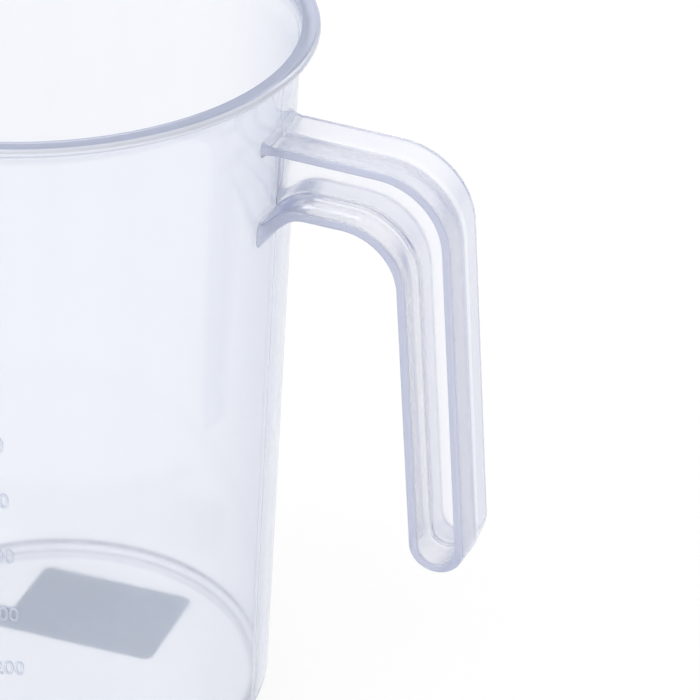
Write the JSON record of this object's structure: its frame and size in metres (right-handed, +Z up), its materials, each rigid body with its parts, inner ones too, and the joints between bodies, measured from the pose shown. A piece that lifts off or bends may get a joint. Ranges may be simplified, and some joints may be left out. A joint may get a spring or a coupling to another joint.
{
  "type": "baby formula pitcher",
  "caption": "Clear plastic measuring pitcher with a rolled lip, a pouring spout, a ribbed hook handle open at the bottom and a raised scale, for mixing baby formula",
  "frame": {"origin": "centre of the standing ring, at table level, on the axis of the vessel", "axes": "+X from the vessel's axis to the handle, +Z up along the vessel's axis, -Y the side with the raised scale; the pouring spout points along -X"},
  "size_m": [0.1657, 0.116, 0.16],
  "materials": {
    "vessel": "clear natural polypropylene, smooth",
    "rim": "clear natural polypropylene, smooth",
    "handle": "clear natural polypropylene, fine satin",
    "web": "clear natural polypropylene, smooth",
    "scale": "clear natural polypropylene, raised lines",
    "label": "plain grey-blue film"
  },
  "bodies": {
    "root": {"base_panel": "vessel", "base_corner": "vessel", "standing_ring": "vessel", "vessel_wall": "vessel", "rim_flare": "vessel", "pour_spout": "vessel", "rim_lip": "rim", "handle_outer_foot": "handle", "handle_outer_arm": "handle", "handle_outer_bend": "handle", "handle_outer_leg": "handle", "handle_end_bend": "handle", "handle_inner_leg": "handle", "handle_inner_bend": "handle", "handle_inner_arm": "handle", "handle_neck": "handle", "handle_neck_run": "handle", "handle_inner_foot": "handle", "handle_web_arm": "web", "handle_web_bend": "web", "handle_web_leg": "web", "graduation_marks": "scale", "base_label": "label"}
  },
  "joints": []
}
